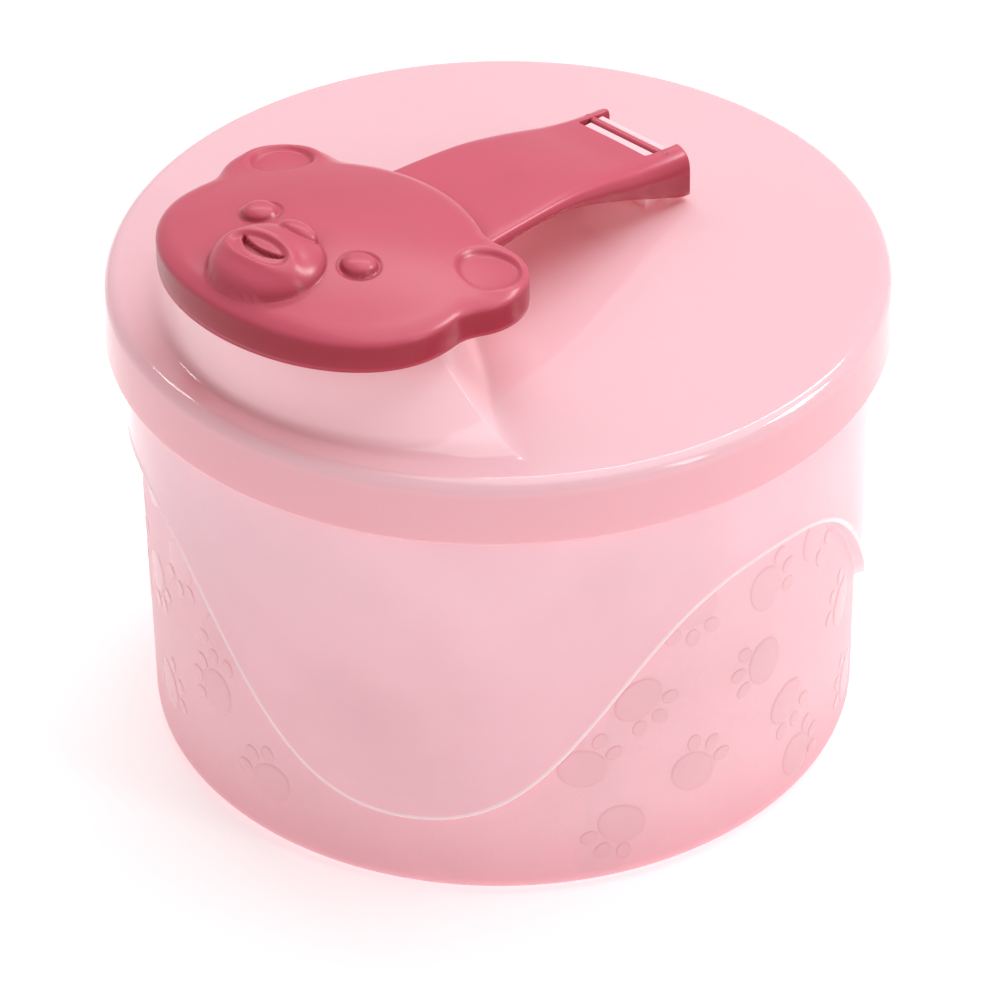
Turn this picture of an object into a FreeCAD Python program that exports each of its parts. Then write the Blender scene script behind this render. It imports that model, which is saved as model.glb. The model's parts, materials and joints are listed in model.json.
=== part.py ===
import FreeCAD, Part
import math
import os

# Baby formula dispenser: a three-compartment pot with a turning lid, a funnel spout and a bear-face flip cap.
# Frame: millimetres, +Z up, origin at the centre of the pot's base, spout towards -Y, cap hinge towards +Y.

V = FreeCAD.Vector
Z_AXIS = V(0, 0, 1)

# Driving dimensions
LID_RADIUS = 55.0
LID_TOP = 73.0
SKIRT_HEIGHT = 9.6
BAND_RADIUS = 52.8
RIM_TOP = 70.2
COMPARTMENTS = 3
RUNNING_GAP = 0.05
LOOSE_GAP = 0.4
# How far a feature is sunk into the one it grows from
WELD = 0.4

# Pot
POT_WALL_RADIUS_TOP = 51.4
POT_WALL_RADIUS_BOTTOM = 51.1
POT_BORE_TOP = 50.6
POT_BORE_BOTTOM = 49.4
POT_CORNER = 3.0
FLOOR_TOP = 2.8
FOOT_INNER_RADIUS = 46.0
FOOT_RECESS = 1.0
BEAD_HEIGHT = 1.8
POT_BEAD_RADIUS = BAND_RADIUS + 0.55
POT_BEAD_Z = 67.8
WAVE_MIDDLE = 31.7
WAVE_SWING = 17.7
WAVE_FLATTENING = 0.06
WAVE_POINTS = 72

# Divider
VANE_THICKNESS = 1.4
HUB_RADIUS = 5.0
HUB_WALL = 1.4
RIB_THICKNESS = 1.2
RIB_REACH = 1.2
RIB_GAP = 0.2
RIB_TOP = 60.0
VANE_NOTCH_DEPTH = 4.4

# Lid
LID_THICKNESS = 1.6
CEILING = LID_TOP - LID_THICKNESS
SKIRT_BOTTOM = LID_TOP - SKIRT_HEIGHT
SKIRT_WALL = 1.2
SKIRT_DRAFT = 0.3
LID_EDGE = 2.0
LID_BEAD_RADIUS = BAND_RADIUS + 0.2
LID_BEAD_Z = 64.9
PLUG_RING_RADIUS = 50.1
PLUG_RING_WALL = 1.3
PLUG_RING_DEPTH = 4.0
SEAL_WIDTH = 2.0

# Funnel on the lid, over one compartment
SPOUT_Y = -32.5
SPOUT_RADIUS = 13.5
SPOUT_WALL = 1.3
SPOUT_RISE = 13.5
FLARE_RISE = 12.0
NECK_STEP = 0.2
FUNNEL_FRONT_RADIUS = 50.7
FUNNEL_BACK_RADIUS = 21.3
FUNNEL_HOLE_RADIUS = 48.0
FUNNEL_HOLE_BACK = 19.6
# How far out each of the flare's sections lies, as a share of the way from the neck to the foot
FLARE_SPREADS = (1.0, 0.85, 0.7, 0.55, 0.4, 0.25, 0.1, 0.0)
FLARE_POINTS = 25

# Cap's head
FACE_Y = -32.4
HEAD_WIDEST_Y = -35.25
HEAD_HALF_WIDTH = 24.5
FOREHEAD_LENGTH = 23.3
CHIN_LENGTH = 17.3
HEAD_BOTTOM = LID_TOP + 12.0
HEAD_EDGE_TOP = LID_TOP + 16.6
HEAD_CROWN = 3.7
EAR_X = 17.65
EAR_Y = -24.0
EAR_RADIUS = 8.7
EAR_FILLET = 2.0
HEAD_EDGE = 1.4
HEAD_BLANK = 20.0
CAP_WALL = 1.6
MUZZLE_AHEAD = 10.6
MUZZLE_SINK = 2.2
MUZZLE_RADII = (8.8, 8.0, 4.6)
NOSE_AHEAD = 5.0
NOSE_RISE = 0.6
NOSE_RADII = (3.4, 2.2, 2.0)
EYE_X = 9.5
EYE_AHEAD = 2.6
EYE_SINK = 1.4
EYE_RADII = (2.6, 2.2, 1.9)
PLUG_RADIUS = SPOUT_RADIUS - SPOUT_WALL - 0.1
PLUG_TAPER = 0.5
PLUG_DEPTH = 4.0
PLUG_WALL = 1.2

# Hinge and arm
HINGE_Y = 26.0
HINGE_Z = LID_TOP + 7.8
BAR_RADIUS = 0.8
BAR_HALF_LENGTH = 6.5
CLIP_FRONT = 2.5
CLIP_BACK = 1.9
CLIP_LIP = 0.45
CLIP_HALF_WIDTH = 6.2
SLOT_REACH = 2.9
PRONG_HALF_WIDTH = 9.4
PRONG_TAIL = 3.6
ARM_START = -17.0
ARM_HALF_WIDTH = 12.0
ARM_NECK_Y = 17.0
ARM_NECK_HALF_WIDTH = 9.8
ARM_WALL = 2.0
ARM_SKIN = 1.8
# Arm's side view as (y, height over the lid)
ARM_TOP = [(ARM_START, 14.0), (-5.0, 13.6), (4.5, 12.9), (12.0, 11.5), (18.0, 10.0), (24.0, 8.9), (28.4, 8.0)]
ARM_TAIL = [(29.6, 6.8), (29.6, 2.4), (28.4, 0.9)]
ARM_UNDERSIDE = [(24.0, 2.6), (18.0, 5.2), (10.5, 8.3), (2.5, 10.9), (-5.0, 11.7), (ARM_START, 11.3)]


def wire_xz(steps):
    """Closed outline in the X-Z plane. A step is a corner (x, z), or an arc as its (middle, end) points."""
    def place(p):
        return V(p[0], 0, p[1])

    edges = []
    here = place(steps[0])
    for step in list(steps[1:]) + [steps[0]]:
        if isinstance(step[0], tuple):
            middle, end = place(step[0]), place(step[1])
            edges.append(Part.Arc(here, middle, end).toShape())
        else:
            end = place(step)
            edges.append(Part.makeLine(here, end))
        here = end
    return Part.Wire(edges)


def turned(steps):
    """Solid of revolution about Z, from an outline of (radius, z) steps."""
    return Part.Face(wire_xz(steps)).revolve(V(0, 0, 0), Z_AXIS, 360)


def tube(outer, inner, low, high):
    ring = Part.makeCylinder(outer, high - low, V(0, 0, low))
    return ring.cut(Part.makeCylinder(inner, high - low, V(0, 0, low)))


def box(low, high):
    return Part.makeBox(high[0] - low[0], high[1] - low[1], high[2] - low[2], V(*low))


def around(shape, first_angle):
    """One copy of a shape per compartment, the first turned to first_angle."""
    copies = []
    for k in range(COMPARTMENTS):
        copy = shape.copy()
        copy.rotate(V(0, 0, 0), Z_AXIS, first_angle + k * 360 / COMPARTMENTS)
        copies.append(copy)
    return copies


def joined(first, *others):
    return first.multiFuse(list(others)).removeSplitter()


def ellipsoid(centre, radii):
    ball = Part.makeSphere(1.0)
    scale = FreeCAD.Matrix()
    scale.scale(*radii)
    ball = ball.transformGeometry(scale)
    ball.translate(V(*centre))
    return ball


def bore_radius(z):
    """Pot's inside radius, which opens a little upwards so that the moulding leaves its tool."""
    share = (z - FLOOR_TOP) / (RIM_TOP - FLOOR_TOP)
    return POT_BORE_BOTTOM + (POT_BORE_TOP - POT_BORE_BOTTOM) * share


def wave_height(angle):
    """Lower edge of the pot's raised band: one flattened wave per compartment."""
    turn = COMPARTMENTS * angle
    swing = (1 + WAVE_FLATTENING) * math.cos(turn) - WAVE_FLATTENING * math.cos(3 * turn)
    return WAVE_MIDDLE + WAVE_SWING * swing


def wave_curve(radius):
    curve = Part.BSplineCurve()
    points = []
    for k in range(WAVE_POINTS):
        angle = 2 * math.pi * k / WAVE_POINTS
        points.append(V(radius * math.cos(angle), radius * math.sin(angle), wave_height(angle)))
    curve.interpolate(Points=points, PeriodicFlag=True)
    return curve.toShape()


def above_wave(inner, outer, top):
    """Ring-shaped space over the wave, used to trim the band."""
    low_in, low_out = wave_curve(inner), wave_curve(outer)
    high_in = Part.makeCircle(inner, V(0, 0, top))
    high_out = Part.makeCircle(outer, V(0, 0, top))
    faces = [
        Part.makeRuledSurface(low_in, low_out),
        Part.makeRuledSurface(low_out, high_out),
        Part.makeRuledSurface(low_in, high_in),
        Part.Face([Part.Wire(high_out), Part.Wire(high_in)]),
    ]
    shell = Part.makeShell(faces)
    shell.sewShape()
    return Part.makeSolid(Part.makeShell(shell.Faces))


def pot_band():
    """Upper band of the pot, proud of the lower wall, with the bead that the lid snaps over."""
    inner = POT_BORE_TOP + WELD
    low = WAVE_MIDDLE - 1.3 * WAVE_SWING
    half = BEAD_HEIGHT / 2
    band = turned([
        (inner, low),
        (BAND_RADIUS, low),
        (BAND_RADIUS, POT_BEAD_Z - half),
        ((POT_BEAD_RADIUS, POT_BEAD_Z), (BAND_RADIUS, POT_BEAD_Z + half)),
        (BAND_RADIUS, RIM_TOP),
        (inner, RIM_TOP),
    ])
    return band.common(above_wave(inner - 5, BAND_RADIUS + 5, RIM_TOP + 5))


def pot_ribs():
    """Pairs of ribs on the pot's inside, each pair a slot for one vane."""
    side = VANE_THICKNESS / 2 + RIB_GAP
    rib = box((POT_BORE_BOTTOM - RIB_REACH, side, FLOOR_TOP - WELD),
              (POT_BORE_TOP + WELD, side + RIB_THICKNESS, RIB_TOP))
    pair = Part.makeCompound([rib, rib.mirror(V(0, 0, 0), V(0, 1, 0))])
    return around(pair, 90)


def rounded_corner(radius, z, size):
    """Arc step from below a corner at (radius, z) to the wall over it, for a round of that size."""
    inset = size * (1 - math.sqrt(0.5))
    return ((radius - inset, z + inset), (radius, z + size))


def make_pot():
    bore_low = bore_radius(FLOOR_TOP)
    inset = POT_CORNER * (1 - math.sqrt(0.5))
    wall = turned([
        (0, FOOT_RECESS),
        (FOOT_INNER_RADIUS - FOOT_RECESS, FOOT_RECESS),
        (FOOT_INNER_RADIUS, 0),
        (POT_WALL_RADIUS_BOTTOM - POT_CORNER, 0),
        rounded_corner(POT_WALL_RADIUS_BOTTOM, 0, POT_CORNER),
        (POT_WALL_RADIUS_TOP, RIM_TOP),
        (POT_BORE_TOP, RIM_TOP),
        (bore_low, FLOOR_TOP + POT_CORNER),
        ((bore_low - inset, FLOOR_TOP + inset), (bore_low - POT_CORNER, FLOOR_TOP)),
        (0, FLOOR_TOP),
    ])
    return joined(wall, pot_band(), *pot_ribs())


def make_divider():
    """Removable insert: a hollow hub closed at the top, with one vane between each two compartments."""
    low = FLOOR_TOP + LOOSE_GAP
    high = CEILING - LOOSE_GAP
    corner = POT_CORNER + LOOSE_GAP
    shoulder = high - VANE_NOTCH_DEPTH
    notch = PLUG_RING_RADIUS - PLUG_RING_WALL - LOOSE_GAP
    outline = wire_xz([
        (HUB_RADIUS - HUB_WALL / 2, low),
        (bore_radius(low) - LOOSE_GAP - corner, low),
        (bore_radius(low) - LOOSE_GAP, low + corner),
        (bore_radius(shoulder) - LOOSE_GAP, shoulder),
        (notch, shoulder),
        (notch, high),
        (HUB_RADIUS - HUB_WALL / 2, high),
    ])
    vane = Part.Face(outline).extrude(V(0, VANE_THICKNESS, 0))
    vane.translate(V(0, -VANE_THICKNESS / 2, 0))
    hub = Part.makeCylinder(HUB_RADIUS, high - low, V(0, 0, low))
    hollow = Part.makeCylinder(HUB_RADIUS - HUB_WALL, high - low - HUB_WALL, V(0, 0, low))
    return joined(hub, *around(vane, 90)).cut(hollow)


def make_lid_seal():
    """Soft ring between the pot's rim and the lid's ceiling, held around the lid's plug ring."""
    inner = PLUG_RING_RADIUS + RUNNING_GAP
    return tube(inner + SEAL_WIDTH, inner, RIM_TOP + RUNNING_GAP, CEILING - RUNNING_GAP)


def foot_reach(angle, front_radius, back_radius):
    """
    Reach from the spout's axis to the funnel's foot. Ahead, the foot is an arc about the lid's centre.
    Behind, it is an arc about the spout, with a straight line from each end to the corner on that side.
    """
    side = math.sqrt(front_radius ** 2 - SPOUT_Y ** 2)
    if math.sin(angle) > 0:
        tangent = math.acos(back_radius / side)
        off_corner = min(angle, math.pi - angle)
        return back_radius / math.cos(max(tangent - off_corner, 0))
    along = SPOUT_Y * math.sin(angle)
    return -along + math.sqrt(along ** 2 + side ** 2)


def flare_section(spread, neck, front_radius, back_radius, z):
    """Closed section of the flare: spread 1 is its foot, and spread 0 is the round neck."""
    edges = []
    for first in (0, math.pi):
        points = []
        for k in range(FLARE_POINTS):
            angle = first + math.pi * k / (FLARE_POINTS - 1)
            reach = foot_reach(angle, front_radius, back_radius)
            radius = neck + (reach - neck) * spread
            points.append(V(radius * math.cos(angle), SPOUT_Y + radius * math.sin(angle), z))
        curve = Part.BSplineCurve()
        curve.interpolate(points)
        edges.append(curve.toShape())
    return Part.Wire(edges)


def flare(neck, front_radius, back_radius, low, high):
    """Bell-shaped solid, level with the lid at its foot and with the spout at its neck."""
    sections = []
    for spread in FLARE_SPREADS:
        z = low + (high - low) * (1 - spread ** 2) ** 3
        sections.append(flare_section(spread, neck, front_radius, back_radius, z))
    solid = Part.makeLoft(sections, True, False)
    if solid.Volume < 0:
        solid.reverse()
    return solid


def hinge_clip():
    """Post on the lid with a cradle for the cap's cross-bar. The cradle's mouth is narrower than the bar."""
    width = 2 * CLIP_HALF_WIDTH
    post = box((-CLIP_HALF_WIDTH, HINGE_Y - CLIP_FRONT, LID_TOP - WELD),
               (CLIP_HALF_WIDTH, HINGE_Y + CLIP_BACK, HINGE_Z + CLIP_LIP))
    start = V(-CLIP_HALF_WIDTH, HINGE_Y, HINGE_Z)
    return post.cut(Part.makeCylinder(BAR_RADIUS + RUNNING_GAP, width, start, V(1, 0, 0)))


def make_lid():
    skirt_inner = LID_RADIUS - SKIRT_WALL
    half = BEAD_HEIGHT / 2
    ring_inner = PLUG_RING_RADIUS - PLUG_RING_WALL
    edge = LID_EDGE * (1 - math.sqrt(0.5))
    plate = turned([
        (0, LID_TOP),
        (LID_RADIUS - LID_EDGE, LID_TOP),
        ((LID_RADIUS - edge, LID_TOP - edge), (LID_RADIUS, LID_TOP - LID_EDGE)),
        (LID_RADIUS + SKIRT_DRAFT, SKIRT_BOTTOM),
        (skirt_inner, SKIRT_BOTTOM),
        (skirt_inner, LID_BEAD_Z - half),
        ((LID_BEAD_RADIUS, LID_BEAD_Z), (skirt_inner, LID_BEAD_Z + half)),
        (skirt_inner, CEILING),
        (PLUG_RING_RADIUS, CEILING),
        (PLUG_RING_RADIUS, CEILING - PLUG_RING_DEPTH),
        (ring_inner, CEILING - PLUG_RING_DEPTH),
        (ring_inner, CEILING),
        (0, CEILING),
    ])
    bore = SPOUT_RADIUS - SPOUT_WALL
    outside = flare(SPOUT_RADIUS + NECK_STEP, FUNNEL_FRONT_RADIUS, FUNNEL_BACK_RADIUS,
                    LID_TOP - WELD, LID_TOP + FLARE_RISE)
    inside = flare(bore + NECK_STEP, FUNNEL_HOLE_RADIUS, FUNNEL_HOLE_BACK,
                   CEILING - WELD, LID_TOP + FLARE_RISE - SPOUT_WALL)
    base = V(0, SPOUT_Y, LID_TOP + WELD)
    spout = Part.makeCylinder(SPOUT_RADIUS, SPOUT_RISE - WELD, base)
    passage = Part.makeCylinder(bore, SPOUT_RISE, base)
    lid = joined(plate, outside, spout, hinge_clip())
    return lid.cut(inside).cut(passage).removeSplitter()


def head_outline(shrink, low, high):
    """Bear's head as an upright prism: two half ovals and two round ears, pulled in by shrink."""
    halves = []
    for length, first in ((FOREHEAD_LENGTH, 0), (CHIN_LENGTH, math.pi)):
        oval = Part.Ellipse(V(0, HEAD_WIDEST_Y, low), HEAD_HALF_WIDTH - shrink, length - shrink)
        halves.append(oval.toShape(first, first + math.pi))
    head = Part.Face(Part.Wire(halves)).extrude(V(0, 0, high - low))
    ears = []
    for side in (-1, 1):
        ears.append(Part.makeCylinder(EAR_RADIUS - shrink, high - low, V(side * EAR_X, EAR_Y, low)))
    return joined(head, *ears)


def crown(drop):
    """Large ball whose top gives the head its crowned face, lowered by drop."""
    reach = HEAD_HALF_WIDTH
    radius = (reach ** 2 + HEAD_CROWN ** 2) / (2 * HEAD_CROWN)
    centre = V(0, FACE_Y, HEAD_EDGE_TOP + HEAD_CROWN - radius)
    return Part.makeSphere(radius - drop, centre, V(0, -1, 0))


def face_features():
    """Muzzle, nose and eyes, each a low ellipsoid on the crowned face."""
    top = HEAD_EDGE_TOP + HEAD_CROWN
    features = [
        ellipsoid((0, FACE_Y - MUZZLE_AHEAD, top - MUZZLE_SINK), MUZZLE_RADII),
        ellipsoid((0, FACE_Y - NOSE_AHEAD, top + NOSE_RISE), NOSE_RADII),
    ]
    for side in (-1, 1):
        features.append(ellipsoid((side * EYE_X, FACE_Y - EYE_AHEAD, top - EYE_SINK), EYE_RADII))
    return features


def over_lid(y, height, x=0):
    return V(x, y, LID_TOP + height)


def side_curve(points, lift=0):
    """Smooth curve in the Y-Z plane through (y, height over the lid) points, raised by lift."""
    curve = Part.BSplineCurve()
    curve.interpolate([over_lid(y, z + lift) for y, z in points])
    return curve


def side_face(top, tail, rest):
    """Face in the Y-Z plane: a top curve, corners from its end, then a curve or corners to its start."""
    edges = [top.toShape()]
    stops = [top.EndPoint] + tail
    if isinstance(rest, list):
        stops += rest + [top.StartPoint]
    else:
        stops.append(rest.StartPoint)
        edges.append(rest.toShape())
        edges.append(Part.makeLine(rest.EndPoint, top.StartPoint))
    edges += [Part.makeLine(a, b) for a, b in zip(stops, stops[1:])]
    return Part.Face(Part.Wire(Part.__sortEdges__(edges)))


def arm_side():
    """Side outline of the arm: arched on top, rising clear of the lid towards the head."""
    tail = [over_lid(y, z) for y, z in ARM_TAIL]
    return side_face(side_curve(ARM_TOP), tail, side_curve(ARM_UNDERSIDE))


def arm_hollow_side():
    """Side outline of the space under the arm's top skin."""
    end = ARM_TOP[-1][1] - ARM_SKIN
    tail = [over_lid(HINGE_Y + 2 * PRONG_TAIL, end), over_lid(HINGE_Y + 2 * PRONG_TAIL, -1)]
    return side_face(side_curve(ARM_TOP, -ARM_SKIN), tail, [over_lid(ARM_START, -1)])


def plan_prism(stations):
    """Upright prism, symmetric about X = 0, through (y, half width) stations."""
    low, height = -5, 25
    right = [over_lid(y, low, half) for y, half in stations]
    left = [over_lid(y, low, -half) for y, half in reversed(stations)]
    outline = Part.makePolygon(right + left + [right[0]])
    return Part.Face(outline).extrude(V(0, 0, height))


def extrude_across(face):
    solid = face.extrude(V(2 * ARM_HALF_WIDTH, 0, 0))
    solid.translate(V(-ARM_HALF_WIDTH, 0, 0))
    return solid


def make_arm():
    """Arched arm, open underneath, ending in two prongs with the hinge's cross-bar between them."""
    past_tail = HINGE_Y + PRONG_TAIL + 1
    outer = plan_prism([(ARM_START, ARM_HALF_WIDTH), (ARM_NECK_Y, ARM_NECK_HALF_WIDTH),
                        (HINGE_Y, PRONG_HALF_WIDTH), (past_tail, PRONG_HALF_WIDTH)])
    inner = plan_prism([(ARM_START, ARM_HALF_WIDTH - ARM_WALL), (ARM_NECK_Y, BAR_HALF_LENGTH),
                        (past_tail, BAR_HALF_LENGTH)])
    arm = extrude_across(arm_side()).common(outer)
    hollow = extrude_across(arm_hollow_side()).common(inner)
    slot = box((-BAR_HALF_LENGTH, HINGE_Y - SLOT_REACH, LID_TOP),
               (BAR_HALF_LENGTH, past_tail, HINGE_Z + 2 * SLOT_REACH))
    bar_start = V(-BAR_HALF_LENGTH - 1, HINGE_Y, HINGE_Z)
    bar = Part.makeCylinder(BAR_RADIUS, 2 * BAR_HALF_LENGTH + 2, bar_start, V(1, 0, 0))
    return arm.cut(hollow).cut(slot).fuse(bar)


def make_plug():
    """Ring inside the head that closes the spout, tapered so that it leaves the spout as the cap turns."""
    neck = V(0, SPOUT_Y, LID_TOP + SPOUT_RISE)
    tip = neck - V(0, 0, PLUG_DEPTH)
    plug = Part.makeCone(PLUG_RADIUS - PLUG_TAPER, PLUG_RADIUS, PLUG_DEPTH, tip)
    plug = plug.fuse(Part.makeCylinder(PLUG_RADIUS, HEAD_BLANK, neck))
    plug = plug.cut(Part.makeCylinder(PLUG_RADIUS - PLUG_TAPER - PLUG_WALL, 2 * HEAD_BLANK, tip))
    return plug.common(crown(CAP_WALL / 2))


def make_cap():
    head = head_outline(0, HEAD_BOTTOM, HEAD_BOTTOM + HEAD_BLANK)
    creases = [e for e in head.Edges if isinstance(e.Curve, Part.BSplineCurve) and e.Length > HEAD_BLANK - 1]
    head = head.makeFillet(EAR_FILLET, creases).common(crown(0))
    top = [f for f in head.Faces if isinstance(f.Surface, Part.Sphere)][0]
    head = head.makeFillet(HEAD_EDGE, top.OuterWire.Edges)
    hollow = head_outline(CAP_WALL, HEAD_BOTTOM - 1, HEAD_BOTTOM + HEAD_BLANK).common(crown(CAP_WALL))
    shell = joined(head, *face_features())
    return joined(shell.cut(hollow), make_plug(), make_arm().cut(hollow))


def main():
    os.makedirs("parts", exist_ok=True)
    nodes = {
        "pot": make_pot(),
        "divider": make_divider(),
        "lid_seal": make_lid_seal(),
        "lid": make_lid(),
        "flip_cap": make_cap(),
    }
    for name, shape in nodes.items():
        if not shape.isValid():
            raise ValueError(name + " isn't a valid solid")
        shape.exportStep("parts/" + name + ".step")
        print(name, len(shape.Solids), "solid", round(shape.Volume / 1000, 2), "cm3")


main()
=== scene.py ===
import json
import math

import bmesh
import bpy
import numpy as np
from mathutils import Matrix, Vector


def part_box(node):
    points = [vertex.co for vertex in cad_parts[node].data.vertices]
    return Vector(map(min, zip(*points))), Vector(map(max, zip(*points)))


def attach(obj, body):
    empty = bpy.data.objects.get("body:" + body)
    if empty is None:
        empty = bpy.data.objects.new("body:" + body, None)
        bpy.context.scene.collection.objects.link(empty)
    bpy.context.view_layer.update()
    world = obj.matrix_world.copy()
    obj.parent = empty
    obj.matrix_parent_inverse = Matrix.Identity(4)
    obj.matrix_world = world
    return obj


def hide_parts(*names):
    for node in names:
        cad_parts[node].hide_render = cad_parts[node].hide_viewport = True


# Looks of the baby formula dispenser: a milky pot, a glossy lid with a funnel and a satin bear-face cap.
# Shapes are in millimetres in the CAD frame (+Z up, spout towards -Y) until a mesh is made from them.
# Materials, lights and the camera are in metres.

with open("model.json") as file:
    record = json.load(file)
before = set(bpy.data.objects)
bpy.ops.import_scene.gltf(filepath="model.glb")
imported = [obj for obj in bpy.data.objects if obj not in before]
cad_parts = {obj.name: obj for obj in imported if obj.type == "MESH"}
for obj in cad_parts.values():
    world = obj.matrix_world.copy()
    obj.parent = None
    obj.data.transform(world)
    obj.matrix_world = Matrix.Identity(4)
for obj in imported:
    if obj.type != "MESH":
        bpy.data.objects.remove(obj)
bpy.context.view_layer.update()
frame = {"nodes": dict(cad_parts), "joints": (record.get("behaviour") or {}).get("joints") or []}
MM = 0.001
joints = {joint["name"]: joint for joint in frame["joints"]}
boxes = {name: [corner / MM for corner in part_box(name)] for name in frame["nodes"]}

# Places taken from the frame
LID_TOP = joints["lid_turn"]["pos_m"][2] / MM
HINGE_Y, HINGE_Z = (value / MM for value in joints["cap_flip"]["pos_m"][1:])
SKIRT_BOTTOM = boxes["lid"][0].z
SKIRT_RADIUS = boxes["lid"][1].x
SPOUT_TOP = boxes["lid"][1].z
RIM_TOP = boxes["pot"][1].z
DIVIDER_LOW, DIVIDER_HIGH = boxes["divider"][0].z, boxes["divider"][1].z
SEAL_LOW, SEAL_HIGH = boxes["lid_seal"][0].z, boxes["lid_seal"][1].z
SEAL_RADIUS = boxes["lid_seal"][1].x
COMPARTMENTS = 3

# Shared by several pieces: half the height of a snap bead, how far a feature is sunk into the one it grows
# from, the number of steps in a small fillet, and the angle from which an edge counts as sharp
BEAD_HALF_HEIGHT = 0.9
WELD = 0.4
FILLET_STEPS = 5
SHARP_EDGE = math.radians(30)

# Pot
BAND_RADIUS = 52.8
WALL_RADIUS_LOW = 51.1
WALL_RADIUS_HIGH = 51.4
BORE_RADIUS_LOW = 49.4
BORE_RADIUS_HIGH = 50.6
POT_CORNER = 3.0
RIM_FILLET = 0.6
FLOOR_TOP = 2.8
FOOT_RADIUS = 46.0
FOOT_RECESS = 1.0
POT_BEAD_RADIUS = 53.35
POT_BEAD_Z = 67.8
RIB_TOP = 60.0
RIB_THICKNESS = 1.2
RIB_REACH = 1.2
RIB_OFFSET = 1.5
POT_COLUMNS = 720

# The wave is a small step with a bead on it. Shares run from the step's lower edge at 0 to its upper one at 1
WAVE_MIDDLE = 31.7
WAVE_SWING = 17.7
WAVE_FLATTENING = 0.06
STEP_HALF_WIDTH = 0.65
STEP_END_SHARE = 0.6
# Share of the step above which it takes the painted highlight
PAINTED_HIGHLIGHT_SHARE = 0.55
WAVE_BEAD = 0.22
WAVE_BEAD_SHARE = 0.75
WAVE_BEAD_SPREAD = 0.16
FROSTED_ROWS, STEP_ROWS, BAND_ROWS = 16, 10, 12

# Numbers of the pot's materials; the last is a painted highlight, a lighter and glossier plastic
POLISHED, FROSTED, PRINT, PAINTED_HIGHLIGHT = range(4)

# Paw prints as (angle, height, way the toes point), in degrees and millimetres, from a wave's crest
PRINTS_AHEAD = [
    (-33, 21.5, 60), (-26.6, 10.5, -125), (-24, 31.6, -49), (-14.6, 44.5, -91), (-14.3, 16.0, 50),
    (0, 41.7, 19), (0, 29.2, 180), (6, 19, -65), (13, 44, -35), (25, 25.4, 139), (30, 9, 160), (9, 7.5, 20),
]
PRINTS_ASIDE = [
    (-27, 27, 150), (-20, 12, 20), (-10, 36, -60), (-9, 22, 120), (2, 30.6, -52), (2, 45.5, 90),
    (13.4, 39, -92), (5.6, 12.5, 31), (25, 32, -115), (23.3, 21.5, 173), (35, 11, 133),
]
PAD_RADII = (3.9, 3.2)
TOE_RADII = (1.15, 1.4)
TOE_REACH = 5.0
TOE_SPREAD = 38
# Section of a pad as (share of its radius, height above the wall); it starts just inside the wall
PAD_SECTION = [(1.0, -0.06), (0.96, 0.03), (0.88, 0.07), (0.75, 0.09), (0.5, 0.1), (0.1, 0.1)]

# Divider and seal
VANE_THICKNESS = 1.4
VANE_START = 4.3
VANE_NOTCH_DEPTH = 4.4
VANE_TOP_REACH = 48.4
VANE_GAP = 0.4
HUB_RADIUS = 5.0
HUB_BORE = 3.6
HUB_ROOF = 1.4
# A lathed outline that closes on the axis ends this close to it
NEAR_AXIS = 0.01
SEAL_WIDTH = 2.0

# Lid
LID_EDGE = 2.0
LID_THICKNESS = 1.6
CEILING = LID_TOP - LID_THICKNESS
SKIRT_DRAFT = 0.3
SKIRT_INNER = 53.8
LID_BEAD_RADIUS = 53.0
LID_BEAD_Z = 64.9
PLUG_RING_RADIUS = 50.1
PLUG_RING_INNER = 48.8
PLUG_RING_DEPTH = 4.0
SPOUT_Y = -32.5
SPOUT_RADIUS = 13.5
SPOUT_BORE = 12.2
NECK_RADIUS = 13.7
FLARE_RISE = 12.0
FUNNEL_WALL = 1.3
FUNNEL_FRONT_RADIUS = 50.7
FUNNEL_BACK_RADIUS = 21.3
FUNNEL_HOLE_RADIUS = 48.0
FUNNEL_HOLE_BACK = 19.6
FLARE_ROWS = 41
FLARE_ROWS_INSIDE = 31
# Angle, in radians, between a ridge of the funnel and the extra column on each side of it
RIDGE_STEP = 0.0025
LID_COLUMNS = 480

# Hinge; the clip on the lid is measured from the bar's axis
BAR_RADIUS = 0.8
BAR_GRIP = 1.2
CLIP_FRONT = -2.5
CLIP_BACK = 1.9
CLIP_LIP = 0.45
CLIP_CORNER = 0.3
CLIP_WIDTH = 12.4

# Cap's head
FACE_Y = -32.4
HEAD_WIDEST_Y = -35.25
HEAD_HALF_WIDTH = 24.5
FOREHEAD_LENGTH = 23.3
CHIN_LENGTH = 17.3
HEAD_BOTTOM = LID_TOP + 12.0
HEAD_EDGE_TOP = LID_TOP + 16.6
HEAD_CROWN = 3.7
FACE_TOP = HEAD_EDGE_TOP + HEAD_CROWN
HEAD_EDGE_ACROSS = 2.7
HEAD_EDGE_DOWN = 1.35
HEAD_EDGE_BAND = 2.8
HEAD_ROWS = 108
HEAD_COLUMNS = 480
EAR_CENTRE = np.array((17.65, -24.0))
EAR_RADIUS = 8.7
EAR_FILLET = 2.0
EAR_HOLLOW_CENTRE = np.array((20.0, -21.7))
EAR_HOLLOW_RADIUS = 4.3
EAR_HOLLOW_DEPTH = 0.75
CAP_WALL = 1.6
PLUG_RADIUS = 12.1
PLUG_TIP_RADIUS = 11.6
PLUG_BORE = 10.4
PLUG_DEPTH = 4.0
PLUG_ROOT = 91.2

# Face: centres, and radii across, along and up
EYE_CENTRE = (9.5, -35.5)
EYE_RADII = (2.65, 2.5, 1.8)
MUZZLE_CENTRE = (0, -43.0)
MUZZLE_RADII = (8.8, 8.1, 6.4)
NOSE_CENTRE = (0, -37.6)
NOSE_RADII = (3.5, 1.8, 2.2)
LIP_Y = -44.7
LIP_RADII = (5.8, 2.8)
SMILE_Y = -45.0
SMILE_HALF_WIDTH = 3.9

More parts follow.
